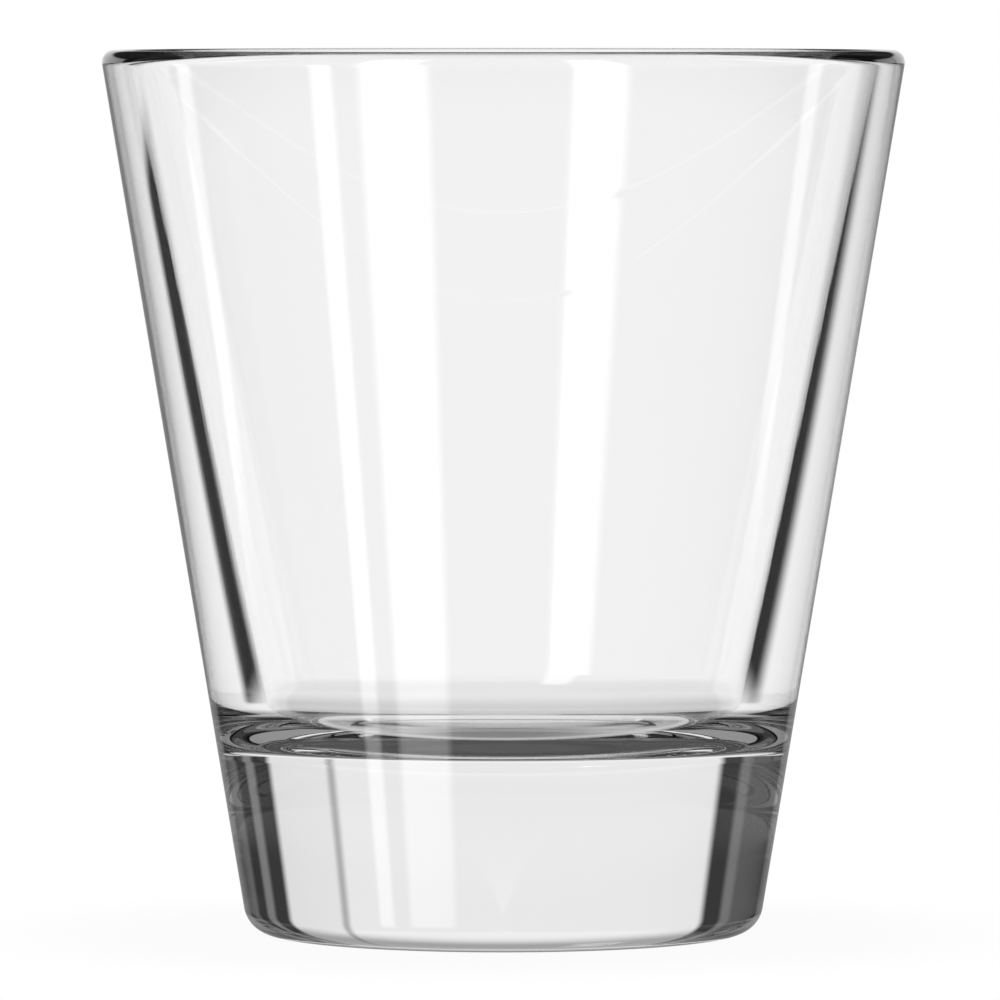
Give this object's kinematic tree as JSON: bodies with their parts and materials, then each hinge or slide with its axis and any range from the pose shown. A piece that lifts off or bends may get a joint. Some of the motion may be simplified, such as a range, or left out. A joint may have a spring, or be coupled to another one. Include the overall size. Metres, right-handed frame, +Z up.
{
  "type": "rocks glass",
  "caption": "Clear rocks glass with a straight flared wall, a rounded lip, a deep round bowl and a thick solid base with a shallow hollow under its foot.",
  "frame": {"origin": "middle of the foot, on the surface that the glass stands on", "axes": "+Z up along the axis of the glass, from the foot to the mouth; the glass is round, so X and Y are free"},
  "size_m": [0.0906, 0.0906, 0.1],
  "materials": {
    "clear_glass": "clear fire-polished soda-lime glass"
  },
  "bodies": {
    "root": {"tumbler": "clear_glass"}
  },
  "joints": []
}
